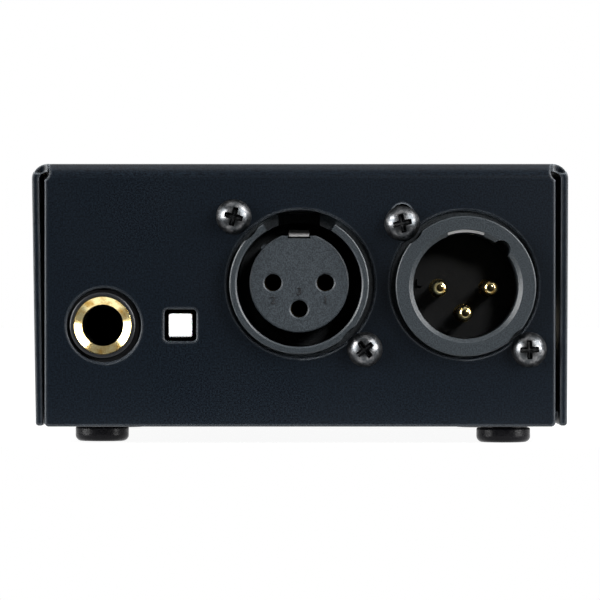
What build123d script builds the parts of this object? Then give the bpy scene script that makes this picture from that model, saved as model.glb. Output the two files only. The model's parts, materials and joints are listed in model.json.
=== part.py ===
from build123d import *
import math
import os

# Direct injection box, in millimetres. X runs to the right as seen from the XLR end, Y runs from
# the XLR end (front) to the instrument end (rear), and Z is up. The origin is the middle of the
# footprint on the surface that the rubber feet stand on.

# Enclosure
sheet = 1.2  # steel sheet with its powder coat
shell_width = 85.0
shell_depth = 112.0
shell_height = 41.65
shell_bottom = 2.65
bend = 2.4  # outside radius of every fold
edge = 0.35  # rounding that the coat leaves on a cut edge
left_lean = 0.65  # how far each side wall springs inwards at its lower edge
right_lean = 0.2
side_setback = 0.35  # side walls start this far behind the end panels
side_bottom = shell_bottom + 0.15
panel_half_width = 40.45
panel_corner = 0.7  # radius of an end panel's lower corners
relief_radius = 1.35
relief_inset = 1.4  # from a side, an end or the top to the middle of a relief hole

# Everything that stands forward of the front panel or behind the rear panel
screw_head_height = 2.2
rear_nose_height = 4.2

shell_top = shell_bottom + shell_height
left = -shell_width / 2
right = shell_width / 2
front = screw_head_height - (shell_depth + screw_head_height + rear_nose_height) / 2
rear = front + shell_depth
front_inside = front + sheet
rear_inside = rear - sheet

# Base plate, feet and base screws
base_lift = 3.0  # underside of the base plate above the ground
base_gap = 0.2  # between the base plate's side flanges and the shell's walls
base_end_gap = 0.4
base_left = left + sheet + left_lean + base_gap
base_right = right - sheet - right_lean - base_gap
base_fold = 1.6
base_flange_top = 14.0
base_flange_end = 12.0  # the side flanges stop this far short of the end panels
base_screw_z = 8.0
base_screw_ys = (front + 24.0, rear - 24.0)
base_screw_head = 2.6
base_screw_shank = 1.4
base_screw_length = 6.0
nut_radius = 3.1
nut_height = 1.6
nut_neck = 1.88
foot_radius = 4.3
foot_height = 2.35
foot_boss = 3.9  # radius of the low boss on top of each foot
foot_pad = 0.2  # adhesive disc above each boss
foot_places = {
    "front_left": (-31.9, front + 15.0),
    "front_right": (32.5, front + 8.0),
    "rear_left": (-31.8, rear - 12.0),
    "rear_right": (31.6, rear - 13.0),
}

# Circuit board
board_bottom = 10.0
board_top = 11.6
board_half_width = 37.0
board_front = front_inside + 3.3
board_rear = rear_inside - 0.5
lead_radius = 0.45
thin_lead = 0.3
lead_hole = 0.6
lead_end = board_bottom - 1.2
support_places = ((-33.0, 14.0), (33.0, 14.0), (-33.0, -19.0), (33.0, -19.0))
support_hole = 1.6

# XLR connectors, which share their flange, body and depth
xlr_rim = front - 1.6
xlr_back = front + 21.0
xlr_floor = front + 17.5
xlr_panel_hole = 11.65
flange_thick = 3.0
flange_half_width = 12.4
flange_half_height = 13.3
xlr_body_half = 12.0
screw_shank = 1.45
screw_pilot = 1.5
screw_clearance = 1.7

socket_x, socket_z = -0.13, 25.18
socket_hole_x, socket_hole_z = 0.1, 25.3
socket_ring = 11.05
socket_bore = 9.9
socket_chamfer = 0.25
socket_recess = 4.0  # depth of the low parts of the ring beside the latch, behind the panel's face
socket_gap_angle = 31  # half of the gap at the top of the ring, in degrees
insert_radius = 7.88
insert_z = socket_z + 0.27
insert_face = xlr_rim + 1.0
insert_flat = insert_z + 7.4
insert_slot_half = 1.8
contact_spread = 4.15
contact_hole = 1.37
contact_outside = 1.34
contact_bore = 1.22
contact_mouth = front + 2.5
contact_depth = 12.0
contact_room = 1.65  # hole in the insert behind its face, where a contact can spring open
socket_screws = ((socket_x - 10.35, socket_z + 10.7, -15.0), (socket_x + 10.4, socket_z - 10.3, 38.0))

plug_x, plug_z = 26.22, 24.88
plug_hole_x, plug_hole_z = 26.0, 25.15
plug_ring = 11.1
plug_bore = 8.35
plug_chamfer = 0.65
plug_notch = 8.95  # outer radius of the latch notch at the top of the bore
pin_radius = 1.19
pin_root = 1.5  # thicker end that is pressed into the disc
pin_z = plug_z - 0.25
pin_spread = 4.0
pin_tip = xlr_rim + 2.6
pin_seat = xlr_floor - 3.8  # face of the disc that the pins stand in
plug_screws = ((plug_x - 10.05, plug_z + 9.95, 12.0), (plug_x + 10.05, plug_z - 10.05, 2.0))

# Jacks and push switches, all with their axes at one height. Their own dimensions are measured
# inwards from the inner face of their panel.
control_z = 18.7
jack_bore = 3.3
jack_tunnel = 3.9  # bore of the body behind its bush
bush_radius = 4.65
bush_length = 9.0
bush_funnel = 0.75
jack_half_width = 7.2
jack_below = control_z - board_top
jack_above = 7.2
jack_length = 31.0
jack_pins = tuple((dx, dy) for dx in (-5.4, 5.4) for dy in (6.0, 13.0, 27.0))
leaf_thick = 0.4
leaf_root = bush_length + 0.7
leaf_height = 4.8  # underside of a tip spring's straight root above the jack's axis
leaf_bend = (24.8, 2.6)  # lowest point of a tip spring, where it rests on a plug's tip
leaf_end = (27.0, 4.6)

front_nose = 5.2
front_nose_height = sheet + 0.1
front_jack_hole = 5.85
front_jack_hole_offset = 0.22
rear_nose = 5.8
rear_jack_hole = 5.95
nut_thick = 2.5
washer_thick = 0.6
washer_radius = 7.6

button_hole = 5.0
cap_width = 3.7
cap_start = 0.2 - sheet  # the released cap lies just behind the panel's outer face
cap_length = 6.0
stem_half = 1.2
piston_half = 2.0
piston = (9.4, 11.4)
switch_body = (7.4, 19.4)
switch_half_width = 4.2
switch_height = 10.4
switch_pins = tuple((dx, switch_body[0] + dy) for dx in (-2.5, 2.5) for dy in (3.0, 5.5, 8.0))

# Where each control stands: its x, the inner face of its panel, and which way is inwards along Y
stations = {
    "front_jack": (-31.25, front_inside, 1),
    "input_jack": (26.0, rear_inside, -1),
    "link_jack": (5.0, rear_inside, -1),
    "lift_switch": (-18.93, front_inside, 1),
    "pad_switch": (-15.0, rear_inside, -1),
}

# Parts on the board
transformer_x, transformer_y = -22.0, -5.0
can_half = 10.0
can_height = 17.0
can_wall = 0.6
core_bottom = board_top + 1.5
winding_bottom = core_bottom + 2.7
transformer_pins = tuple((transformer_x + dx, transformer_y + dy) for dx in (-7, 7) for dy in (-5, 0, 5))
resistor_places = tuple((x, -21.5) for x in (-6, -2, 2, 6, 10)) + tuple((x, -6.0) for x in (2, 6, 10))
resistor_span = 10.2
resistor_half = 3.1
resistor_z = board_top + 1.3
film_places = ((16.0, -23.0), (21.0, -23.0), (26.0, -23.0), (18.0, -6.0))
film_span = 5.0


# ------------------------------------------------------------------------------------------- shapes


def block(x, y, z):
    """A box between three (low, high) pairs."""
    spans = (x, y, z)
    size = [high - low for low, high in spans]
    middle = [(high + low) / 2 for low, high in spans]
    return Pos(*middle) * Box(*size)


def rod(radius, x, y, z, far_radius=None):
    """A cylinder, or a cone, along whichever of x, y and z is a (low, high) pair."""
    spans = [place if isinstance(place, tuple) else (place, place) for place in (x, y, z)]
    length, direction = max((high - low, i) for i, (low, high) in enumerate(spans))
    turn = (Rot(0, 90, 0), Rot(-90, 0, 0), Rot(0, 0, 0))[direction]
    middle = [(high + low) / 2 for low, high in spans]
    if far_radius is None:
        return Pos(*middle) * turn * Cylinder(radius, length)
    return Pos(*middle) * turn * Cone(radius, far_radius, length)


def outline(corners):
    """A flat face from (x, y, radius) corners, where radius 0 leaves the corner sharp."""
    face = Polygon(*[(x, y) for x, y, radius in corners], align=None)
    for size in sorted({radius for x, y, radius in corners if radius}):
        rounded = {(round(x, 4), round(y, 4)) for x, y, radius in corners if radius == size}
        face = fillet([v for v in face.vertices() if (round(v.X, 4), round(v.Y, 4)) in rounded], size)
    return face


def rectangle(x, y, radius):
    """A flat face between two (low, high) pairs, with rounded corners."""
    return outline([(x[i], y[j], radius) for i, j in ((0, 0), (1, 0), (1, 1), (0, 1))])


def along_x(face, x):
    """A face drawn in (y, z), extruded between two x."""
    return extrude(Plane.YZ.offset(x[0]) * face, x[1] - x[0], dir=(1, 0, 0))


def along_y(face, y):
    """A face drawn in (x, z), extruded between two y."""
    return extrude(Plane.XZ.offset(-y[1]) * face, y[1] - y[0], dir=(0, -1, 0))


def along_z(face, z):
    """A face drawn in (x, y), extruded between two z."""
    return extrude(Plane.XY.offset(z[0]) * face, z[1] - z[0], dir=(0, 0, 1))


def span(one, other):
    """Two numbers as a (low, high) pair."""
    return (min(one, other), max(one, other))


def about(middle, half):
    """A (low, high) pair round a middle."""
    return (middle - half, middle + half)


def group(pieces):
    """Separate solids that share one node."""
    return Compound(children=[solid for piece in pieces for solid in piece.solids()])


def first_rim(piece):
    """The circular edge that lies furthest towards -Y."""
    return piece.edges().filter_by(GeomType.CIRCLE).sort_by(Axis.Y)[0]


def stationed(name, piece):
    """Moves a control's piece from its own frame, with y inwards, to its place on its panel."""
    x, face_y, inwards = stations[name]
    return Pos(x, face_y, control_z) * Rot(0, 0, 0 if inwards > 0 else 180) * piece


def stationed_places(name, places):
    """Moves (x, y) places from a control's own frame to the board."""
    x, face_y, inwards = stations[name]
    return [(x + inwards * dx, face_y + inwards * dy) for dx, dy in places]


# ---------------------------------------------------------------------------------------- enclosure


def end_panel(face_y, inwards):
    """An end panel with its fold and a short lap on the top, and rounded edges outside."""
    lap_y = face_y + inwards * (bend + 0.2)
    inner_y = face_y + inwards * sheet
    section = outline(
        [
            (face_y, shell_bottom, 0),
            (face_y, shell_top, bend),
            (lap_y, shell_top, 0),
            (lap_y, shell_top - sheet, 0),
            (inner_y, shell_top - sheet, bend - sheet),
            (inner_y, shell_bottom, 0),
        ]
    )
    width = (-panel_half_width, panel_half_width)
    front_view = outline(
        [
            (width[0], shell_bottom, panel_corner),
            (width[1], shell_bottom, panel_corner),
            (width[1], shell_top + 1, 0),
            (width[0], shell_top + 1, 0),
        ]
    )
    panel = along_x(section, width) & along_y(front_view, span(face_y - inwards, lap_y))
    for side in (-1, 1):
        x = side * (shell_width / 2 - relief_inset)
        panel -= rod(relief_radius, x, span(face_y - inwards, lap_y + inwards), shell_top - relief_inset)
    face = max(faces_on(panel, face_y), key=lambda f: f.area)
    rims = [e for e in face.edges() if e.center().Z < shell_top - bend - 0.01]
    return fillet(rims, edge)


def faces_on(shape, y):
    """The flat faces of a shape that lie in the plane of one y."""
    return [f for f in shape.faces().filter_by(GeomType.PLANE) if abs(f.center().Y - y) < 0.001]


def folded_walls():
    """The top and the two side walls, folded down from it, with the coat's round on their ends."""
    inner_fold = bend - sheet
    section = outline(
        [
            (left + left_lean, side_bottom, 0.5),
            (left, shell_top, bend),
            (right, shell_top, bend),
            (right - right_lean, side_bottom, 0.5),
            (right - right_lean - sheet, side_bottom, edge),
            (right - sheet, shell_top - sheet, inner_fold),
            (left + sheet, shell_top - sheet, inner_fold),
            (left + left_lean + sheet, side_bottom, edge),
        ]
    )
    ends = (front + side_setback, rear - side_setback)
    walls = along_y(section, ends)
    rims = [e for y in ends for f in faces_on(walls, y) for e in f.edges()]
    return fillet(rims, edge)


def relief_cut(side, face_y, inwards):
    """The share of one corner's relief hole that lies in the top, with its end of the side fold."""
    x = side * (shell_width / 2 - relief_inset)
    y = face_y + inwards * relief_inset
    return rod(relief_radius, x, y, (shell_top - sheet - 0.3, shell_top + 1))


def button_opening(name):
    """Square hole for a push button, through its panel."""
    face = rectangle(about(0, button_hole / 2), about(0, button_hole / 2), 0.6)
    return stationed(name, along_y(face, (-sheet - 1, 1)))


def front_openings():
    """Every hole in the front panel."""
    y = (front - 1, front_inside + 1)
    cuts = stationed("front_jack", rod(front_jack_hole, front_jack_hole_offset, (-sheet - 1, 1), 0))
    cuts += button_opening("lift_switch")
    cuts += rod(xlr_panel_hole, socket_hole_x, y, socket_hole_z)
    cuts += rod(xlr_panel_hole, plug_hole_x, y, plug_hole_z)
    for x, z, turn in socket_screws + plug_screws:
        cuts += rod(screw_clearance, x, y, z)
    upper_x, upper_z, turn = plug_screws[0]
    cuts += rod(screw_clearance, upper_x, y, upper_z + 1.4)
    return cuts


def rear_openings():
    """Every hole in the rear panel."""
    cuts = button_opening("pad_switch")
    for name in ("input_jack", "link_jack"):
        cuts += stationed(name, rod(rear_jack_hole, 0, (-sheet - 1, 1), 0))
    return cuts


def panel_hole_rims(shell):
    """The outer rims of the holes in the two end panels, without those that screw heads cover."""
    panels = [max(faces_on(shell, y), key=lambda f: f.area) for y in (front, rear)]
    holes = [wire for panel in panels for wire in panel.inner_wires()]
    return [e for hole in holes if hole.length > 3 * math.pi * screw_clearance for e in hole.edges()]


def wall_face(side):
    """Outer face of a side wall at the height of the base screws."""
    lean = left_lean if side < 0 else right_lean
    return side * (shell_width / 2 - lean * (shell_top - base_screw_z) / shell_height)


def side_screw_hole(side, y):
    """Countersunk hole through a side wall for a base screw."""
    face_x = wall_face(side)
    wide = base_screw_head + 0.15
    cone = Pos(0, 0, -sheet / 2) * Cone(wide - sheet, wide, sheet)
    cone += Pos(0, 0, 0.5) * Cylinder(wide, 1.0)
    cone += Cylinder(base_screw_shank + 0.2, 4 * sheet)
    return Pos(face_x, y, base_screw_z) * Rot(0, 90 * side, 0) * cone


def top_shell():
    """One folded sheet: top, two side walls and both end panels, open underneath."""
    shell = folded_walls()
    for face_y, inwards in ((front, 1), (rear, -1)):
        near = span(face_y - inwards, face_y + inwards * bend)
        shell -= block((left + bend, right - bend), near, (shell_top - bend, shell_top + 1))
        shell += end_panel(face_y, inwards)
        for side in (-1, 1):
            shell -= relief_cut(side, face_y, inwards)
    for side in (-1, 1):
        for y in base_screw_ys:
            shell -= side_screw_hole(side, y)
    shell -= front_openings()
    shell -= rear_openings()
    shell = fillet(panel_hole_rims(shell), edge)
    return max(shell.solids(), key=lambda solid: solid.volume)  # without the slugs cut out at the reliefs


def base_plate():
    """Flat floor with a flange folded up along each side."""
    inner_fold = base_fold - sheet
    section = outline(
        [
            (base_left, base_lift, base_fold),
            (base_right, base_lift, base_fold),
            (base_right, base_flange_top, edge),
            (base_right - sheet, base_flange_top, edge),
            (base_right - sheet, base_lift + sheet, inner_fold),
            (base_left + sheet, base_lift + sheet, inner_fold),
            (base_left + sheet, base_flange_top, edge),
            (base_left, base_flange_top, edge),
        ]
    )
    plate = along_y(section, (front_inside + base_end_gap, rear_inside - base_end_gap))
    above_fold = (base_lift + base_fold + 0.4, base_flange_top + 1)
    for y in ((front, front + base_flange_end), (rear - base_flange_end, rear)):
        plate -= block((left, right), y, above_fold)
    for y in base_screw_ys:
        plate -= rod(nut_neck + 0.02, (left, right), y, base_screw_z)
    return plate


def base_nut(side, y):
    """Self-clinching nut on the inner face of a base flange."""
    flange = base_left + sheet if side < 0 else base_right - sheet
    body = rod(nut_radius, span(flange, flange - side * nut_height), y, base_screw_z)
    neck = rod(nut_neck, span(flange, flange + side * (sheet - 0.1)), y, base_screw_z)
    return body + neck - rod(screw_pilot, about(flange, 3.0), y, base_screw_z)


def cross_recess(size, depth):
    """Tapered cross recess, from z 0 down, with its arms along x and y."""
    arm = 0.16 * size
    wide = Rectangle(size, 2 * arm) + Rectangle(2 * arm, size)
    return extrude(wide, -depth, taper=14)


def pan_screw(x, z, turn):
    """Pan-head screw whose head sits on the front panel."""
    head = 2.8
    length = 8.0
    dome = (head**2 + screw_head_height**2) / (2 * screw_head_height)
    ball = Pos(0, 0, screw_head_height - dome) * Sphere(dome)
    screw = ball & Pos(0, 0, screw_head_height / 2) * Cylinder(head, screw_head_height)
    screw += Pos(0, 0, 0.02 - length / 2) * Cylinder(screw_shank, length)
    recess = cross_recess(1.15 * head, 0.7 * screw_head_height)
    screw -= Pos(0, 0, screw_head_height) * Rot(0, 0, turn) * recess
    return Pos(x, front, z) * Rot(90, 0, 0) * screw


def base_screw(side, y):
    """Countersunk screw through a side wall into its clinch nut, with its flat head outside."""
    taper = base_screw_head - base_screw_shank
    screw = Pos(0, 0, -taper / 2) * Cone(base_screw_shank, base_screw_head, taper)
    screw += Pos(0, 0, -base_screw_length / 2) * Cylinder(base_screw_shank, base_screw_length - 0.02)
    screw -= Rot(0, 0, 20 * side + y) * cross_recess(2.9, 1.0)
    sunk = wall_face(side) - side * 0.1
    return Pos(sunk, y, base_screw_z) * Rot(0, 90 * side, 0) * screw


def foot(x, y):
    """Round rubber foot with a rolled lower rim and a low boss on top."""
    puck = rod(foot_radius, x, y, (0, foot_height))
    low, high = puck.edges().filter_by(GeomType.CIRCLE).sort_by(Axis.Z)
    puck = fillet(high, 0.35).fillet(1.0, [low])
    return puck + rod(foot_boss, x, y, (foot_height - 1, base_lift - foot_pad))


# ----------------------------------------------------------------------------------- XLR connectors


def xlr_shell(x, z, ring, screws):
    """Flange, block and front ring that both XLR housings share, without their bores."""
    flange = along_y(
        rectangle(about(x, flange_half_width), about(z, flange_half_height), 2.0),
        (front_inside, front_inside + flange_thick),
    )
    body_y = (front_inside + flange_thick, xlr_back)
    body = block(about(x, xlr_body_half), body_y, (board_top, z + xlr_body_half))
    collar = rod(ring, x, (xlr_rim, front_inside + 1), z)
    housing = flange + body + fillet(first_rim(collar), 0.25)
    for screw_x, screw_z, turn in screws:
        housing -= rod(screw_pilot, screw_x, (front_inside - 1, front + 9.5), screw_z)
        dent = math.hypot(screw_x - x, screw_z - z) - ring + 0.4
        housing -= rod(dent, screw_x, (xlr_rim - 1, front_inside), screw_z)
    return housing


def contact_places(x, z, spread, handed):
    """Axes of contacts 1, 2 and 3, seen from the front. handed is 1 on the socket, -1 on the plug."""
    return ((x + handed * spread, z), (x - handed * spread, z), (x, z - spread))


socket_contacts = contact_places(socket_x, insert_z, contact_spread, 1)
plug_contacts = contact_places(plug_x, pin_z, pin_spread, -1)


def tail_y(number):
    """Where the tail of contact 1, 2 or 3 turns down behind its housing."""
    return xlr_back + (2.2 if number < 3 else 4.8)


def tail(x, z, start_y, down_y):
    """Lead from the back of a contact, turned down through the circuit board."""
    back = rod(lead_radius, x, (start_y, down_y), z)
    return back + Pos(x, down_y, z) * Sphere(lead_radius) + rod(lead_radius, x, down_y, (lead_end, z))


def socket_housing():
    """Female XLR housing: ring open at the top for the latch, and a deep round pocket."""
    housing = xlr_shell(socket_x, socket_z, socket_ring, socket_screws)
    mouth = (xlr_rim, xlr_rim + socket_chamfer)
    housing -= rod(socket_bore, socket_x, (xlr_rim - 1, xlr_floor), socket_z)
    housing -= rod(socket_bore + socket_chamfer, socket_x, mouth, socket_z, far_radius=socket_bore)
    reach = socket_ring + 3
    half_gap = reach * math.tan(math.radians(socket_gap_angle))
    wedge = Polygon(
        (socket_x, socket_z),
        (socket_x + half_gap, socket_z + reach),
        (socket_x - half_gap, socket_z + reach),
        align=None,
    )
    housing -= along_y(wedge, (xlr_rim - 1, front + socket_recess))
    latch_room = (socket_z + 8, socket_z + xlr_body_half - 0.5)
    housing -= block(about(socket_x, 3.3), (front - 0.5, front + 13), latch_room)
    for x, z in socket_contacts:
        housing -= rod(lead_hole, x, (xlr_floor - 1, xlr_back + 1), z)
    return housing


def socket_insert():
    """Round contact carrier with three contact holes, a key rib and a slot for the spring."""
    carrier = rod(insert_radius, socket_x, (insert_face, xlr_floor), insert_z)
    insert = fillet(first_rim(carrier), 0.25)
    rib_reach = insert_radius - 0.15
    rib_angle = math.radians(45)
    rib_x = socket_x - math.sin(rib_angle) * rib_reach
    rib_z = insert_z + math.cos(rib_angle) * rib_reach
    insert += rod(0.55, rib_x, (insert_face + 0.2, xlr_floor), rib_z)
    insert -= block(about(socket_x, 9), (insert_face - 1, xlr_floor - 1), (insert_flat, insert_flat + 5))
    for start, depth in ((insert_face - 1, 0.4), (insert_face + 0.4, 1.7)):
        slot_z = (insert_flat - depth, insert_flat + 1)
        insert -= block(about(socket_x, insert_slot_half), (start, xlr_floor - 1), slot_z)
    for x, z in socket_contacts:
        insert -= rod(contact_hole, x, (insert_face - 1, xlr_floor + 1), z)
        insert -= rod(contact_room, x, (contact_mouth - 1, xlr_floor - 2), z)
        insert -= rod(contact_hole + 0.25, x, (insert_face, insert_face + 0.25), z, far_radius=contact_hole)
    return insert


def socket_contact(number):
    """Tubular contact with its tail through the board."""
    x, z = socket_contacts[number - 1]
    tube = rod(contact_outside, x, (contact_mouth, xlr_floor - 0.1), z)
    tube -= rod(contact_bore, x, (contact_mouth - 1, contact_mouth + contact_depth), z)
    return tube + tail(x, z, xlr_floor - 0.2, tail_y(number))


def leaf(points, thick, half_width, radius):
    """Flat spring bent along (y, z) points, rounded at its inner bends."""
    rounding = [0] + [radius] * (len(points) - 2) + [0]
    lower = [(y, z, r) for (y, z), r in zip(points, rounding)]
    upper = [(y, z + thick, r) for y, z, r in lower]
    return along_x(outline(upper + lower[::-1]), (-half_width, half_width))


def socket_spring():
    """Flat retention spring in the slot of the insert, which presses on an inserted plug."""
    low = insert_z + 7.05
    points = [
        (xlr_floor - 1.4, low),
        (xlr_floor - 7.5, low + 1.15),
        (insert_face + 0.65, low + 0.32),
        (insert_face + 0.45, low + 0.24),
    ]
    return Pos(socket_x, 0, 0) * leaf(points, 0.3, 1.6, 0.2)


def plug_housing():
    """Male XLR housing: thick chamfered ring with a key groove and a latch notch in its bore."""
    housing = xlr_shell(plug_x, plug_z, plug_ring, plug_screws)
    mouth = (xlr_rim, xlr_rim + plug_chamfer)
    housing -= rod(plug_bore, plug_x, (xlr_rim - 1, xlr_floor), plug_z)
    housing -= rod(plug_bore + plug_chamfer, plug_x, mouth, plug_z, far_radius=plug_bore)
    notch = rod(plug_notch, plug_x, (xlr_rim - 1, front + 7.5), plug_z)
    housing -= notch & block(about(plug_x, 2.9), (xlr_rim - 1, front + 7.5), (plug_z, plug_z + 10))
    housing -= Pos(plug_x, 0, plug_z) * Rot(0, 44, 0) * rod(1.5, 0, (xlr_rim - 1, xlr_floor - 4), 8.0)
    for x, z in plug_contacts:
        housing -= rod(lead_hole, x, (xlr_floor - 1, xlr_back + 1), z)
    return housing


def plug_insert():
    """Insulator disc at the bottom of the bore, with a snap lug at each side."""
    insert = rod(plug_bore - 0.05, plug_x, (pin_seat, xlr_floor), plug_z)
    for side in (-1, 1):
        lug_x = span(plug_x + side * 6.5, plug_x + side * 7.4)
        insert += block(lug_x, (pin_seat - 1.4, pin_seat + 0.1), (plug_z + 0.1, plug_z + 1.3))
    for x, z in plug_contacts:
        insert -= rod(pin_root + 0.02, x, (pin_seat - 1, xlr_floor - 1), z)
        insert -= rod(lead_hole, x, (pin_seat - 1, xlr_floor + 1), z)
    return insert


def plug_pin(number):
    """Solid round pin with a domed tip and a tail through the board."""
    x, z = plug_contacts[number - 1]
    pin = fillet(first_rim(rod(pin_radius, x, (pin_tip, pin_seat + 1), z)), 0.95)
    root = rod(pin_root, x, (pin_seat, xlr_floor - 1.02), z)
    return pin + root + tail(x, z, xlr_floor - 1.2, tail_y(number))


def plug_ground_strip():
    """Curved spring strip in the latch notch that earths the mating connector's shell."""
    outside = plug_notch - 0.03
    lip = (xlr_rim + 0.3, xlr_rim + 0.5)
    strip = rod(outside, plug_x, (lip[0], front + 7.0), plug_z)
    strip -= rod(outside, plug_x, lip, plug_z, far_radius=outside - 0.4)
    strip -= rod(outside - 0.4, plug_x, (lip[1], lip[1] + 0.3), plug_z)
    strip -= rod(outside - 0.3, plug_x, (lip[1] + 0.3, front + 8.0), plug_z)
    return strip & block(about(plug_x, 2.85), (xlr_rim, front + 8.0), (plug_z, plug_z + 10))


# ------------------------------------------------- jacks, each about its own axis with y 0 at its panel


def jack_body(nose_radius, nose_height):
    """Moulded jack body with its nose, its bore and an open pocket over the tip spring."""
    body = block(about(0, jack_half_width), (0.1, jack_length), (-jack_below, jack_above))
    body = fillet(body.edges().filter_by(Axis.Y), 0.6)
    nose = rod(nose_radius, 0, (-nose_height, 0.2), 0)
    body += fillet(first_rim(nose), 0.25)
    body -= rod(bush_radius + 0.02, 0, (-nose_height - 1, bush_length), 0)
    body -= rod(jack_tunnel, 0, (0, jack_length + 1), 0)
    body -= block(about(0, 2.2), (bush_length + 3, jack_length - 2), (0, jack_above + 1))
    body -= block(about(0, 1.8), (leaf_root - 0.4, bush_length + 3.1), (leaf_height - 0.4, jack_above + 1))
    return body


def rear_jack_body():
    """Jack body with a threaded nose for its nut."""
    body = jack_body(rear_nose, sheet + rear_nose_height)
    for turn in range(3):
        y = 0.6 + 0.75 * turn - sheet - rear_nose_height
        groove = rod(rear_nose + 1, 0, (y, y + 0.3), 0) - rod(rear_nose - 0.3, 0, (y - 1, y + 1), 0)
        body -= groove
    return body


def jack_bush(nose_height):
    """Plated sleeve bush with a funnel mouth."""
    face_y = 0.05 - nose_height
    bush = fillet(first_rim(rod(bush_radius, 0, (face_y, bush_length), 0)), 0.12)
    bush -= rod(jack_bore, 0, (face_y - 1, bush_length + 1), 0)
    funnel = (face_y, face_y + bush_funnel)
    return bush - rod(bush_radius - 0.15, 0, funnel, 0, far_radius=jack_bore)


def jack_tip_spring():
    """Contact spring that reaches down into the bore and presses on a plug's tip."""
    points = [(leaf_root, leaf_height), (bush_length + 5, leaf_height), leaf_bend, leaf_end]
    return leaf(points, leaf_thick, 1.5, 0.4)


def jack_nut():
    """Moulded hexagon nut with a chamfered crown."""
    seat = -sheet - washer_thick
    nut = along_y(RegularPolygon(8.1, 6), (seat - nut_thick, seat))
    nut &= rod(7.2, 0, (seat - nut_thick, seat), 0, far_radius=9.4)
    return nut - rod(rear_nose + 0.05, 0, (seat - nut_thick - 1, 1), 0)


def jack_washer():
    """Flat washer between the nut and the panel."""
    seat = -sheet - washer_thick
    return rod(washer_radius, 0, (seat, -sheet), 0) - rod(rear_nose + 0.1, 0, (seat - 1, 1), 0)


def board_pins(name, places):
    """Straight solder pins from the underside of a control through the board."""
    board_places = stationed_places(name, places)
    return group([rod(lead_radius, x, y, (lead_end, board_top)) for x, y in board_places])


# ---------------------------------------- push switches, each about its own axis with y 0 at its panel


def switch_housing():
    """Push switch body with a square throat for the stem and a chamber for the piston."""
    start, end = switch_body
    body = block(about(0, switch_half_width), switch_body, (-jack_below, switch_height - jack_below))
    body = fillet(body.edges().filter_by(Axis.Y), 0.4)
    throat = about(0, stem_half + 0.1)
    body -= block(throat, (start - 1, start + 3), throat)
    chamber = about(0, piston_half + 0.2)
    return body - block(chamber, (start + 1.6, end - 1.2), chamber)


def switch_plunger():
    """Square stem with its piston inside the switch."""
    stem = block(about(0, stem_half), (cap_start + 2.0, piston[1]), about(0, stem_half))
    return stem + block(about(0, piston_half), piston, about(0, piston_half))


def button_cap():
    """Square cap pressed on the stem."""
    half = cap_width / 2
    cap = block(about(0, half), (cap_start, cap_start + cap_length), about(0, half))
    cap = fillet(cap.edges().filter_by(Axis.Y), 0.35)
    cap = fillet(cap.faces().sort_by(Axis.Y)[0].edges(), 0.25)
    socket = (cap_start + 2.0, cap_start + cap_length + 1)
    return cap - block(about(0, stem_half), socket, about(0, stem_half))


def switch_spring():
    """Return spring between the piston and the back of the switch chamber."""
    wire = 0.16
    start = piston[1] + wire
    length = switch_body[1] - 1.2 - wire - start
    coil = Helix(pitch=length / 4.5, height=length, radius=1.1)
    section = Plane(origin=coil @ 0, z_dir=coil % 0) * Circle(wire)
    return Pos(0, start, 0) * Rot(-90, 0, 0) * sweep(section, path=coil)


# -------------------------------------------------------------------------- circuit board and parts


def board_lead_places():
    """Every place where a lead passes through the board."""
    places = list(transformer_pins)
    for name in ("front_jack", "input_jack", "link_jack"):
        places += stationed_places(name, jack_pins)
    for name in ("lift_switch", "pad_switch"):
        places += stationed_places(name, switch_pins)
    for contacts in (socket_contacts, plug_contacts):
        places += [(x, tail_y(number)) for number, (x, z) in enumerate(contacts, 1)]
    for middles, reach in ((resistor_places, resistor_span / 2), (film_places, film_span / 2)):
        places += [(x, y + end * reach) for x, y in middles for end in (-1, 1)]
    return places


def circuit_board():
    """Fibreglass board with its lead holes and its support holes."""
    face = rectangle(about(0, board_half_width), (board_front, board_rear), 1.5)
    face -= [Pos(x, y) * Circle(lead_hole) for x, y in board_lead_places()]
    face -= [Pos(x, y) * Circle(support_hole) for x, y in support_places]
    return along_z(face, (board_bottom, board_top))


def board_support(x, y):
    """Nylon post that stands on the base plate and snaps into the board."""
    post = rod(3.0, x, y, (base_lift + sheet, board_bottom))
    post += rod(support_hole - 0.05, x, y, (board_bottom, board_top + 0.1))
    return post + rod(1.75, x, y, (board_top + 0.05, board_top + 1.8), far_radius=0.8)


def resistor(x, y):
    """Axial resistor body with its thicker ends, lying along Y."""
    body = rod(1.0, x, about(y, resistor_half), resistor_z)
    for end in (-1, 1):
        body += rod(1.2, x, about(y + end * 2.3, 0.75), resistor_z)
    return body


def resistor_lead(x, y, end):
    """Bent lead of a resistor, from its body's end through the board."""
    far = y + end * resistor_span / 2
    flat = rod(thin_lead, x, span(y + end * resistor_half, far), resistor_z)
    upright = rod(thin_lead, x, far, (lead_end, resistor_z))
    return flat + Pos(x, far, resistor_z) * Sphere(thin_lead) + upright


def film_capacitor(x, y):
    """Boxed film capacitor standing on the board."""
    box = block(about(x, 1.4), about(y, 3.6), (board_top, board_top + 6.5))
    return fillet(box.edges().filter_by(Axis.Z), 0.3)


def film_capacitor_leads():
    """Leads of the film capacitors."""
    places = [(x, y + end * film_span / 2) for x, y in film_places for end in (-1, 1)]
    return group([rod(thin_lead, x, y, (lead_end, board_top)) for x, y in places])


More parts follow.
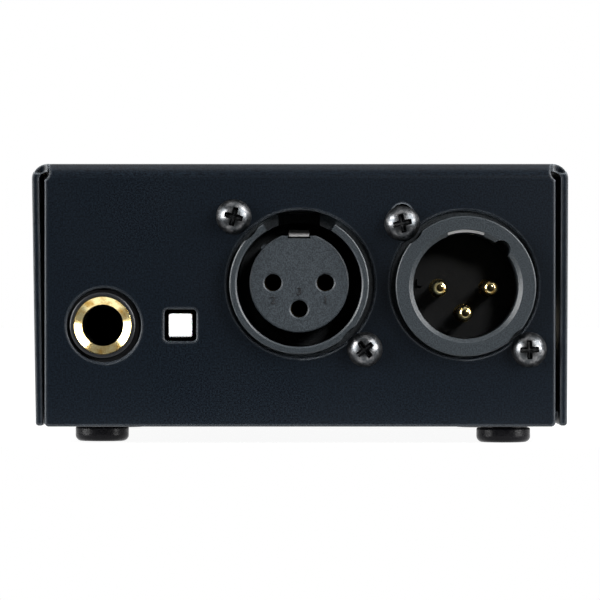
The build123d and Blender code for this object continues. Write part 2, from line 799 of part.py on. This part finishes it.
def transformer_can():
    """Drawn magnetic screening can, open towards the board."""
    x = about(transformer_x, can_half)
    y = about(transformer_y, can_half)
    can = along_z(rectangle(x, y, 2.5), (board_top, board_top + can_height))
    can = fillet(can.faces().sort_by(Axis.Z)[-1].edges(), 1.5)
    inner_half = can_half - can_wall
    room = rectangle(about(transformer_x, inner_half), about(transformer_y, inner_half), 1.9)
    return can - along_z(room, (board_top - 1, board_top + can_height - can_wall))


def transformer_core():
    """Stack of E and I laminations: three legs and two yokes."""
    stack = about(transformer_y, 2.5)
    core = block(about(transformer_x, 8), stack, (core_bottom, core_bottom + 14))
    for side in (-1, 1):
        window = about(transformer_x + side * 4.0, 1.6)
        core -= block(window, about(transformer_y, 4), (core_bottom + 2.6, core_bottom + 11.4))
    return core


def transformer_bobbin():
    """Spool round the middle leg with a flange at each end."""
    low, high = winding_bottom, winding_bottom + 8.6
    tube = block(about(transformer_x, 2.9), about(transformer_y, 3.1), (low, high))
    for z in (low, high - 0.5):
        tube += block(about(transformer_x, 5.4), about(transformer_y, 6.0), (z, z + 0.5))
    return tube - block(about(transformer_x, 2.42), about(transformer_y, 2.6), (low - 1, high + 1))


def transformer_winding():
    """Coil of fine wire round the spool."""
    face = rectangle(about(transformer_x, 5.2), about(transformer_y, 5.6), 1.5)
    coil = along_z(face, (winding_bottom + 0.55, winding_bottom + 8.05))
    hollow = (winding_bottom, winding_bottom + 9)
    return coil - block(about(transformer_x, 2.95), about(transformer_y, 3.15), hollow)


def transformer_leads():
    """Pins from the transformer's foot through the board."""
    return group([rod(lead_radius, x, y, (lead_end, core_bottom - 0.1)) for x, y in transformer_pins])


# ------------------------------------------------------------------------------------------- output


def enclosure_parts():
    """The folded shell, its base, and what holds them together and up."""
    nuts = [base_nut(side, y) for side in (-1, 1) for y in base_screw_ys]
    screws = [base_screw(side, y) for side in (-1, 1) for y in base_screw_ys]
    pads = [rod(foot_boss, x, y, (base_lift - foot_pad, base_lift)) for x, y in foot_places.values()]
    parts = {f"foot_{corner}": foot(x, y) for corner, (x, y) in foot_places.items()}
    parts["foot_pads"] = group(pads)
    parts["top_shell"] = top_shell()
    parts["base_plate"] = base_plate()
    parts["base_nuts"] = group(nuts)
    parts["base_screws"] = group(screws)
    return parts


def xlr_parts():
    """The female and male XLR connectors and their panel screws."""
    parts = {
        "socket_housing": socket_housing(),
        "socket_insert": socket_insert(),
        "socket_spring": socket_spring(),
        "plug_housing": plug_housing(),
        "plug_insert": plug_insert(),
        "plug_ground_strip": plug_ground_strip(),
        "xlr_screws": group([pan_screw(*place) for place in socket_screws + plug_screws]),
    }
    for number in (1, 2, 3):
        parts[f"socket_contact_{number}"] = socket_contact(number)
        parts[f"plug_pin_{number}"] = plug_pin(number)
    return parts


def jack_parts():
    """One jack in the front panel, and two with nuts in the rear panel."""
    rear_height = sheet + rear_nose_height
    parts = {
        "front_jack_body": stationed("front_jack", jack_body(front_nose, front_nose_height)),
        "front_jack_bush": stationed("front_jack", jack_bush(front_nose_height)),
    }
    for name in ("input_jack", "link_jack"):
        parts[f"{name}_body"] = stationed(name, rear_jack_body())
        parts[f"{name}_bush"] = stationed(name, jack_bush(rear_height))
        parts[f"{name}_nut"] = stationed(name, jack_nut())
        parts[f"{name}_washer"] = stationed(name, jack_washer())
    for name in ("front_jack", "input_jack", "link_jack"):
        parts[f"{name}_tip_spring"] = stationed(name, jack_tip_spring())
        parts[f"{name}_pins"] = board_pins(name, jack_pins)
    return parts


def switch_parts():
    """The ground lift switch in the front panel and the pad switch in the rear panel."""
    parts = {}
    for name in ("lift_switch", "pad_switch"):
        parts[f"{name}_body"] = stationed(name, switch_housing())
        parts[f"{name}_plunger"] = stationed(name, switch_plunger())
        parts[f"{name}_cap"] = stationed(name, button_cap())
        parts[f"{name}_spring"] = stationed(name, switch_spring())
        parts[f"{name}_pins"] = board_pins(name, switch_pins)
    return parts


def board_parts():
    """The circuit board, its posts, the transformer and the small parts."""
    ends = [(x, y, end) for x, y in resistor_places for end in (-1, 1)]
    return {
        "circuit_board": circuit_board(),
        "board_supports": group([board_support(*place) for place in support_places]),
        "resistors": group([resistor(*place) for place in resistor_places]),
        "resistor_leads": group([resistor_lead(*place) for place in ends]),
        "film_capacitors": group([film_capacitor(*place) for place in film_places]),
        "film_capacitor_leads": film_capacitor_leads(),
        "transformer_can": transformer_can(),
        "transformer_core": transformer_core(),
        "transformer_bobbin": transformer_bobbin(),
        "transformer_winding": transformer_winding(),
        "transformer_pins": transformer_leads(),
    }


os.makedirs("parts", exist_ok=True)
for make in (enclosure_parts, xlr_parts, jack_parts, switch_parts, board_parts):
    for node, shape in make().items():
        export_step(shape, f"parts/{node}.step")
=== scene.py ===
"""Looks of the direct injection box: materials, small digits and coil springs, light and camera.

Everything is in metres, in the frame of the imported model: X to the right as seen from the XLR end,
Y from that end to the rear, Z up from the ground.
"""

import json
import math

import bmesh
import bpy
from mathutils import Matrix, Vector


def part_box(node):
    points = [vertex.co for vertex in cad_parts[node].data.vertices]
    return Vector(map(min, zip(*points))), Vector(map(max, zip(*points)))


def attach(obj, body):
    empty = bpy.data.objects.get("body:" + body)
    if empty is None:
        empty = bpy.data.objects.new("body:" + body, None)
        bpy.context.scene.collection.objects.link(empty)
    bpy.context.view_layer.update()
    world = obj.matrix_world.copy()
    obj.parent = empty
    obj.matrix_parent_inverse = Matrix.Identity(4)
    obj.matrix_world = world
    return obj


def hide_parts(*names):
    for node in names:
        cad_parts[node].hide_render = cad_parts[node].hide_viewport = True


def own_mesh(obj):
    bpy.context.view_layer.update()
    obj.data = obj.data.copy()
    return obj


MM = 0.001

# Shader helpers
NOISE_SPREAD = (0.3, 0.7)  # nearly all of a noise texture's values lie between these
EDGE_SPREAD = (0.93, 0.995)  # cosines of the turn that an edge's rounding gives the normal
EDGE_SAMPLES = 6
WAVE_PITCH = math.pi / 10  # distance between the bands of a wave texture of scale 1
MIX_FIRST, MIX_SECOND, MIX_RESULT = 6, 7, 2  # the colour sockets of a mix node

# Pin numbers on the contact carrier
DIGIT_SIZE = 1.75 * MM
DIGIT_HEIGHT = 0.07 * MM
DIGIT_EDGE = 0.02 * MM
DIGIT_SHIFTS = {1: -2.85 * MM, 2: -2.85 * MM, 3: 2.7 * MM}  # up from the middle of each contact

# Coil springs of the push switches, with the joint that presses each one
COIL_JOINTS = {"lift_switch": "lift_button_push", "pad_switch": "pad_button_push"}
COIL_WIRE_RADIUS = 0.16 * MM
COIL_TURNS = 5
STEPS_PER_TURN = 24
TUBE_SIDES = 10

CAMERA_DISTANCE = 0.76  # from the front panel
CAMERA_HEIGHT = 22.7 * MM
VIEW_WIDTH = 94.95 * MM  # what the picture's width covers at the front panel

FLOOR_REACH = 3.0  # to each side and behind
FLOOR_FRONT = -72 * MM  # just in front of the box, so that the floor doesn't light the panel
FLOOR_GLOW = 0.93

# The light tent goes from black straight in front (0) to white straight behind (1), through these
TENT = ((0.09, 0.0), (0.22, 0.3), (0.45, 0.1), (0.62, 0.1), (0.75, 0.42))

# Place, width and height in metres, and power in watts
SOFTBOXES = {
    "left_softbox": ((-0.8, -0.3, 0.25), (0.5, 0.7), 15),
    "right_softbox": ((0.6, -0.28, 0.3), (0.45, 0.7), 11.5),
    "front_softbox": ((0.28, -0.9, 0.27), (0.12, 0.12), 0.9),
    "overhead": ((0.0, 0.0, 0.9), (1.2, 0.6), 3),
}
SOFTBOX_AIM = Vector((0.0, -0.05, 0.022))  # the middle of the box, just behind the front panel

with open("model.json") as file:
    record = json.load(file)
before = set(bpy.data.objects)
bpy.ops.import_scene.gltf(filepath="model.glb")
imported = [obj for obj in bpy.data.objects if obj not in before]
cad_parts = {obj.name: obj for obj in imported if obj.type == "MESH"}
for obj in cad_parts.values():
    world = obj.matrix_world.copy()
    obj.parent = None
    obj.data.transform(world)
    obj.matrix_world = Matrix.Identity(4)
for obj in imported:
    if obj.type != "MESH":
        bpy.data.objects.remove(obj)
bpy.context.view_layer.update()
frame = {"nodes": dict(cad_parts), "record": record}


# ------------------------------------------------------------------------------------ shader helpers


def add_node(tree, kind, inputs=None, **settings):
    """A new node with these settings. Each of inputs, by name or number, is a value or a socket."""
    made = tree.nodes.new(kind)
    for name, value in settings.items():
        setattr(made, name, value)
    for name, value in (inputs or {}).items():
        if isinstance(value, bpy.types.NodeSocket):
            tree.links.new(value, made.inputs[name])
        else:
            made.inputs[name].default_value = value
    return made


def opaque(color):
    """A colour with full alpha. A socket stays as it is."""
    return color if isinstance(color, bpy.types.NodeSocket) else (*color, 1)


class Surface:
    """One Principled material, with its textures measured in the object's own metres."""

    def __init__(self, name, metallic=0.0):
        self.material = bpy.data.materials.new(name)
        self.material.use_nodes = True
        self.tree = self.material.node_tree
        self.shader = self.tree.nodes["Principled BSDF"]
        self.place = self.node("ShaderNodeTexCoord").outputs["Object"]
        self.set("Metallic", metallic)

    def node(self, kind, inputs=None, **settings):
        """A new node of this material."""
        return add_node(self.tree, kind, inputs, **settings)

    def noise(self, size, detail=3.0, stretch=(1, 1, 1)):
        """Noise with lumps of about that size, longer along the axes with a large stretch."""
        scale = [1 / (size * factor) for factor in stretch]
        mapped = self.node("ShaderNodeMapping", {"Vector": self.place, "Scale": scale})
        inputs = {"Vector": mapped.outputs["Vector"], "Scale": 1.0, "Detail": detail}
        return self.node("ShaderNodeTexNoise", inputs).outputs["Fac"]

    def specks(self, size):
        """Scattered cells of that size, from 0 at a cell's middle to about 1 at its edge."""
        inputs = {"Vector": self.place, "Scale": 1 / size}
        return self.node("ShaderNodeTexVoronoi", inputs).outputs["Distance"]

    def bands(self, pitch, axis):
        """Soft bands across an axis, from 0 to 1 and back over each pitch."""
        inputs = {"Vector": self.place, "Scale": WAVE_PITCH / pitch}
        return self.node("ShaderNodeTexWave", inputs, bands_direction=axis).outputs["Fac"]

    def edges(self, radius):
        """About 1 along sharp and tightly rounded edges, and 0 elsewhere."""
        rounded = self.node("ShaderNodeBevel", {"Radius": radius}, samples=EDGE_SAMPLES).outputs["Normal"]
        plain = self.node("ShaderNodeNewGeometry").outputs["Normal"]
        compare = self.node("ShaderNodeVectorMath", {0: rounded, 1: plain}, operation="DOT_PRODUCT")
        return self.remap(compare.outputs["Value"], EDGE_SPREAD, (1.0, 0.0))

    def remap(self, value, spread, ends):
        """A value between the two ends, in step with one that goes over the spread."""
        inputs = {"Value": value, "From Min": spread[0], "From Max": spread[1]}
        inputs.update({"To Min": ends[0], "To Max": ends[1]})
        return self.node("ShaderNodeMapRange", inputs).outputs["Result"]

    def blend(self, value, first, second, spread=(0.0, 1.0)):
        """A colour from first to second as the value goes over the spread."""
        factor = self.remap(value, spread, (0.0, 1.0))
        inputs = {"Factor": factor, MIX_FIRST: opaque(first), MIX_SECOND: opaque(second)}
        return self.node("ShaderNodeMix", inputs, data_type="RGBA").outputs[MIX_RESULT]

    def color(self, socket):
        """Takes the base colour from a socket."""
        self.tree.links.new(socket, self.shader.inputs["Base Color"])

    def roughness(self, noise, first, second, spread=NOISE_SPREAD):
        """Roughness from first to second as a noise goes over the spread."""
        result = self.remap(noise, spread, (first, second))
        self.tree.links.new(result, self.shader.inputs["Roughness"])

    def bump(self, *layers):
        """Bump from layers of height and depth, one on top of the other. Returns the finished surface."""
        inputs = {}
        for height, depth in layers:
            inputs.update({"Height": height, "Distance": depth, "Strength": 1.0})
            inputs["Normal"] = self.node("ShaderNodeBump", inputs).outputs["Normal"]
        self.tree.links.new(inputs["Normal"], self.shader.inputs["Normal"])
        return self

    def set(self, name, value):
        """A value that is the same all over the surface."""
        self.shader.inputs[name].default_value = value


# ---------------------------------------------------------------------------------------- materials


def powder_coat():
    """Satin blue-black powder coat with a fine orange peel, and a painted highlight along its edges."""
    look = Surface("powder_coat")
    grain = look.noise(0.25 * MM, 1)
    coat = look.blend(grain, (0.0, 0.001, 0.0032), (0.0046, 0.009, 0.0146), (0.35, 0.65))
    # painted highlight: the coat turns lighter along its rounded edges, in place of the rims' highlights
    look.color(look.blend(look.edges(0.5 * MM), coat, (0.13, 0.145, 0.16)))
    look.roughness(look.noise(14 * MM), 0.36, 0.39)
    look.set("Specular IOR Level", 0.24)
    return look.bump((grain, 0.005 * MM))


def rubber():
    """Moulded black rubber, slightly glossy, with scuffed patches."""
    look = Surface("rubber")
    scuff = look.noise(0.9 * MM, 5)
    look.color(look.blend(scuff, (0.002, 0.002, 0.003), (0.007, 0.007, 0.009)))
    look.roughness(scuff, 0.16, 0.34, (0.35, 0.65))
    look.set("Specular IOR Level", 0.13)
    return look.bump((look.noise(0.35 * MM, 4), 0.03 * MM))


def adhesive():
    """Foam adhesive disc."""
    look = Surface("adhesive")
    cells = look.specks(0.15 * MM)
    look.color(look.blend(cells, (0.12, 0.12, 0.13), (0.3, 0.3, 0.31)))
    look.set("Roughness", 0.7)
    return look.bump((cells, 0.03 * MM))


def screw_steel():
    """Black nickel that has worn to steel on the high spots."""
    look = Surface("screw_steel", metallic=1.0)
    wear = look.noise(0.9 * MM, 5)
    look.color(look.blend(wear, (0.07, 0.075, 0.08), (0.2, 0.2, 0.205), (0.45, 0.65)))
    look.roughness(look.noise(0.3 * MM, 4), 0.26, 0.4)
    return look.bump((wear, 0.012 * MM), (look.noise(0.15 * MM, 2), 0.003 * MM))


def zinc_steel():
    """Bright zinc plate."""
    look = Surface("zinc_steel", metallic=1.0)
    cloud = look.noise(1.5 * MM, 4)
    look.color(look.blend(cloud, (0.5, 0.52, 0.55), (0.66, 0.68, 0.7)))
    look.roughness(cloud, 0.22, 0.38)
    return look.bump((look.noise(0.3 * MM), 0.006 * MM))


def connector_plastic():
    """Matt glass-filled nylon of the XLR housings."""
    look = Surface("connector_plastic")
    fibre = look.noise(0.21 * MM, 1)
    look.color(look.blend(fibre, (0.01, 0.0145, 0.018), (0.034, 0.042, 0.049), (0.35, 0.65)))
    look.roughness(fibre, 0.34, 0.5)
    return look.bump((fibre, 0.02 * MM), (look.specks(0.3 * MM), 0.008 * MM))


def insert_plastic():
    """Spark-eroded matt face of the contact carrier."""
    look = Surface("insert_plastic")
    fibre = look.noise(0.21 * MM, 1)
    look.color(look.blend(fibre, (0.011, 0.0155, 0.0195), (0.033, 0.0425, 0.051), (0.35, 0.65)))
    look.roughness(fibre, 0.42, 0.58)
    return look.bump((fibre, 0.03 * MM), (look.specks(0.25 * MM), 0.01 * MM))


def gold():
    """Bright gold plate with tarnished clouds."""
    look = Surface("gold", metallic=1.0)
    cloud = look.noise(1.1 * MM, 4)
    look.color(look.blend(cloud, (1.0, 0.86, 0.45), (0.62, 0.38, 0.1), (0.4, 0.66)))
    look.roughness(cloud, 0.12, 0.22)
    return look.bump((look.noise(0.25 * MM), 0.003 * MM))


def contact_metal():
    """Nearly black plate inside the tubular contacts, in uneven clouds: painted shade deep in the holes.
    """
    look = Surface("contact_metal", metallic=1.0)
    cloud = look.noise(0.5 * MM)
    # painted shade: nearly black, so that the deep contact holes read dark
    look.color(look.blend(cloud, (0.03, 0.02, 0.01), (0.09, 0.065, 0.03)))
    look.roughness(cloud, 0.5, 0.7)
    return look.bump((cloud, 0.004 * MM))


def tinned_metal():
    """Tin-plated leads."""
    look = Surface("tinned_metal", metallic=1.0)
    cloud = look.noise(0.4 * MM)
    look.color(look.blend(cloud, (0.6, 0.61, 0.62), (0.8, 0.81, 0.82)))
    look.roughness(cloud, 0.2, 0.4)
    return look.bump((cloud, 0.005 * MM))


def spring_steel():
    """Nickel-plated spring strip, rolled along its length."""
    look = Surface("spring_steel", metallic=1.0)
    rolled = look.noise(0.12 * MM, stretch=(6, 30, 1))
    look.color(look.blend(rolled, (0.8, 0.8, 0.8), (0.93, 0.93, 0.92)))
    look.roughness(rolled, 0.32, 0.45)
    return look.bump((rolled, 0.001 * MM))


def black_plastic():
    """Satin black moulding of the jacks and switches."""
    look = Surface("black_plastic")
    grain = look.noise(0.3 * MM)
    look.color(look.blend(look.noise(4 * MM), (0.009, 0.01, 0.012), (0.018, 0.019, 0.021)))
    look.roughness(grain, 0.28, 0.44)
    return look.bump((grain, 0.01 * MM))


def white_plastic():
    """White button moulding."""
    look = Surface("white_plastic")
    cloud = look.noise(2 * MM)
    look.color(look.blend(cloud, (0.86, 0.86, 0.85), (0.93, 0.93, 0.92)))
    look.roughness(cloud, 0.24, 0.36)
    look.set("Subsurface Weight", 0.1)
    return look.bump((look.noise(0.4 * MM, 2), 0.004 * MM))


def fibreglass():
    """Green solder mask with the shadow of copper tracks under it."""
    look = Surface("fibreglass")
    inputs = {"Vector": look.place, "Scale": 1 / (3 * MM)}
    cells = look.node("ShaderNodeTexVoronoi", inputs, distance="MANHATTAN", feature="SMOOTH_F1")
    tracks = look.remap(cells.outputs["Distance"], (0.45, 0.5), (0.0, 1.0))
    look.color(look.blend(tracks, (0.012, 0.13, 0.045), (0.03, 0.26, 0.09)))
    look.roughness(look.noise(0.6 * MM), 0.28, 0.42)
    return look.bump((tracks, 0.03 * MM), (look.noise(0.35 * MM, 2), 0.008 * MM))


def nylon():
    """Natural nylon."""
    look = Surface("nylon")
    cloud = look.noise(1.5 * MM)
    look.color(look.blend(cloud, (0.74, 0.72, 0.64), (0.85, 0.83, 0.76)))
    look.roughness(cloud, 0.34, 0.5)
    look.set("Subsurface Weight", 0.2)
    return look.bump((look.noise(0.4 * MM, 2), 0.006 * MM))


def resistor_coat():
    """Blue conformal coat with brown bands across the body."""
    look = Surface("resistor_coat")
    look.color(look.blend(look.bands(2.985 * MM, "Y"), (0.2, 0.42, 0.62), (0.2, 0.06, 0.03), (0.86, 0.9)))
    look.roughness(look.noise(0.6 * MM), 0.22, 0.4)
    return look.bump((look.noise(0.8 * MM, 2), 0.03 * MM))


def capacitor_case():
    """Red moulded capacitor case."""
    look = Surface("capacitor_case")
    cloud = look.noise(1.8 * MM)
    look.color(look.blend(cloud, (0.45, 0.035, 0.02), (0.62, 0.07, 0.04)))
    look.roughness(cloud, 0.28, 0.44)
    return look.bump((look.noise(0.3 * MM), 0.01 * MM))


def can_metal():
    """Drawn nickel-iron can, with upright drawing marks."""
    look = Surface("can_metal", metallic=1.0)
    drawn = look.noise(0.2 * MM, 4, stretch=(1, 1, 25))
    look.color(look.blend(drawn, (0.46, 0.45, 0.42), (0.62, 0.61, 0.58)))
    look.roughness(drawn, 0.28, 0.46)
    return look.bump((drawn, 0.008 * MM))


def lamination():
    """Stacked laminations, seen as fine lines across the stack."""
    look = Surface("lamination", metallic=1.0)
    sheets = look.bands(0.691 * MM, "Y")
    look.color(look.blend(sheets, (0.14, 0.14, 0.145), (0.4, 0.4, 0.41)))
    look.roughness(look.noise(0.4 * MM), 0.34, 0.52)
    return look.bump((sheets, 0.05 * MM))


def copper():
    """Layers of enamelled copper wire, with painted shade in the grooves between the turns."""
    look = Surface("copper", metallic=1.0)
    turns = look.bands(0.314 * MM, "Z")
    # painted shade: the colour is dark in the grooves between turns and light on their crowns, in step
    # with the bump
    look.color(look.blend(turns, (0.3, 0.1, 0.04), (0.78, 0.34, 0.16)))
    look.roughness(look.noise(0.5 * MM, 2), 0.24, 0.36)
    return look.bump((turns, 0.04 * MM))


MAKERS = (
    powder_coat, rubber, adhesive, screw_steel, zinc_steel, connector_plastic, insert_plastic, gold,
    tinned_metal, spring_steel, black_plastic, white_plastic, fibreglass, nylon, resistor_coat,
    capacitor_case, can_metal, lamination, copper, contact_metal,
)
materials = {make.__name__: make().material for make in MAKERS}


def dress_nodes():
    """Gives each CAD node the material of its slot, and the tubular contacts a nearly black one that
    paints the shade deep in their holes.
    """
    slots = {part["node"]: part["material_slot"] for part in frame["record"]["subparts"]}
    for name, node in frame["nodes"].items():
        finish = "contact_metal" if name.startswith("socket_contact") else slots[name]
        node.data.materials.clear()
        node.data.materials.append(materials[finish])


# ---------------------------------------------------------------------------------------- new pieces


def link(name, data):
    """A new object in the scene."""
    made = bpy.data.objects.new(name, data)
    bpy.context.scene.collection.objects.link(made)
    return made


def add_piece(name, mesh, slot):
    """A new piece that rides on the box and takes its finish from a slot."""
    piece = link(name, mesh)
    mesh.materials.append(materials[slot])
    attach(piece, "box")
    return piece


def contact_number(number, shift):
    """A small raised digit on the face of the contact carrier, shift above the middle of its contact."""
    low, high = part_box(f"socket_contact_{number}")
    x = (low.x + high.x) / 2
    z = high.z - (high.x - low.x) / 2
    text = bpy.data.curves.new(f"digit_{number}", "FONT")
    text.body = str(number)
    text.size = DIGIT_SIZE
    text.align_x = "CENTER"
    text.align_y = "CENTER"
    text.extrude = DIGIT_HEIGHT
    text.bevel_depth = DIGIT_EDGE
    holder = link("digit", text)
    mesh = bpy.data.meshes.new_from_object(holder.evaluated_get(bpy.context.evaluated_depsgraph_get()))
    bpy.data.objects.remove(holder)
    mesh.transform(Matrix.Rotation(math.radians(90), 4, "X"))
    mesh.transform(Matrix.Translation((x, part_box("socket_insert")[0].y, z + shift)))
    add_piece(f"contact_number_{number}", mesh, "black_plastic")


def tube_along(points, radius):
    """A closed tube round a row of points."""
    mesh = bmesh.new()
    rings = []
    last = len(points) - 1
    angles = [2 * math.pi * k / TUBE_SIDES for k in range(TUBE_SIDES)]
    across = (points[1] - points[0]).orthogonal()
    for i, point in enumerate(points):
        along = (points[min(i + 1, last)] - points[max(i - 1, 0)]).normalized()
        across = (across - along * across.dot(along)).normalized()
        other = along.cross(across)
        spokes = [math.cos(angle) * across + math.sin(angle) * other for angle in angles]
        rings.append([mesh.verts.new(point + radius * spoke) for spoke in spokes])
    for first, second in zip(rings, rings[1:]):
        for k in range(TUBE_SIDES):
            n = (k + 1) % TUBE_SIDES
            mesh.faces.new((first[k], first[n], second[n], second[k]))
    mesh.faces.new(rings[0][::-1])
    mesh.faces.new(rings[-1])
    for face in mesh.faces:
        face.smooth = True
    made = bpy.data.meshes.new("tube")
    mesh.to_mesh(made)
    mesh.free()
    return made


def switch_coil(switch):
    """Coil spring of a push switch, over the length of the switch's spring part, which it replaces."""
    low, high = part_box(f"{switch}_spring")
    middle = (low + high) / 2
    radius = (high.x - low.x) / 2 - COIL_WIRE_RADIUS
    start = low.y + COIL_WIRE_RADIUS
    length = high.y - low.y - 2 * COIL_WIRE_RADIUS
    steps = COIL_TURNS * STEPS_PER_TURN
    points = []
    for i in range(steps + 1):
        angle = 2 * math.pi * i / STEPS_PER_TURN
        x = middle.x + radius * math.cos(angle)
        z = middle.z + radius * math.sin(angle)
        points.append(Vector((x, start + length * i / steps, z)))
    coil = add_piece(f"{switch}_coil", tube_along(points, COIL_WIRE_RADIUS), "spring_steel")
    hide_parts(f"{switch}_spring")
    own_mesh(coil)


# ------------------------------------------------------------------------------- floor, light, camera


def floor():
    """A glowing white floor that reaches from just in front of the box to far behind it."""
    left, right, front, back = -FLOOR_REACH, FLOOR_REACH, FLOOR_FRONT, FLOOR_REACH
    corners = [(left, front, 0), (right, front, 0), (right, back, 0), (left, back, 0)]
    mesh = bpy.data.meshes.new("floor")
    mesh.from_pydata(corners, [], [(0, 1, 2, 3)])
    paint = Surface("floor_paint")
    paint.set("Base Color", (0.12, 0.12, 0.12, 1))
    paint.set("Roughness", 0.8)
    paint.set("Emission Color", (1, 1, 1, 1))
    paint.set("Emission Strength", FLOOR_GLOW)
    mesh.materials.append(paint.material)
    link("floor", mesh)


def softbox(name, place, size, power):
    """A rectangular lamp that faces the box."""
    light = bpy.data.lights.new(name, "AREA")
    light.shape = "RECTANGLE"
    light.size, light.size_y = size
    light.energy = power
    lamp = link(name, light)
    lamp.location = place
    lamp.rotation_euler = (SOFTBOX_AIM - Vector(place)).to_track_quat("-Z", "Y").to_euler()


def tent():
    """White to the camera, and to everything else a light tent that is brightest behind the box."""
    world = bpy.data.worlds.new("tent")
    world.use_nodes = True
    bpy.context.scene.world = world
    tree = world.node_tree
    direction = add_node(tree, "ShaderNodeTexCoord").outputs["Generated"]
    split = add_node(tree, "ShaderNodeSeparateXYZ", {"Vector": direction})
    behind = add_node(tree, "ShaderNodeMapRange", {"Value": split.outputs["Y"], "From Min": -1.0})
    ramp = add_node(tree, "ShaderNodeValToRGB", {"Fac": behind.outputs["Result"]})
    for place, level in TENT:
        ramp.color_ramp.elements.new(place).color = (level, level, level, 1)
    seen = add_node(tree, "ShaderNodeLightPath").outputs["Is Camera Ray"]
    strength = add_node(tree, "ShaderNodeMath", {0: ramp.outputs["Color"], 1: seen}, operation="MAXIMUM")
    background = tree.nodes["Background"]
    background.inputs["Color"].default_value = (1, 1, 1, 1)
    tree.links.new(strength.outputs["Value"], background.inputs["Strength"])


def camera():
    """Straight on to the front panel, near its middle height, through a long lens."""
    data = bpy.data.cameras.new("camera")
    data.lens = data.sensor_width * CAMERA_DISTANCE / VIEW_WIDTH
    eye = link("camera", data)
    eye.location = (0.0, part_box("top_shell")[0].y - CAMERA_DISTANCE, CAMERA_HEIGHT)
    eye.rotation_euler = (math.radians(90), 0, 0)
    bpy.context.scene.camera = eye


dress_nodes()
for number, shift in DIGIT_SHIFTS.items():
    contact_number(number, shift)
for switch, joint_name in COIL_JOINTS.items():
    switch_coil(switch)
floor()
for name, (place, size, power) in SOFTBOXES.items():
    softbox(name, place, size, power)
tent()
camera()
bpy.context.scene.view_settings.view_transform = "Standard"
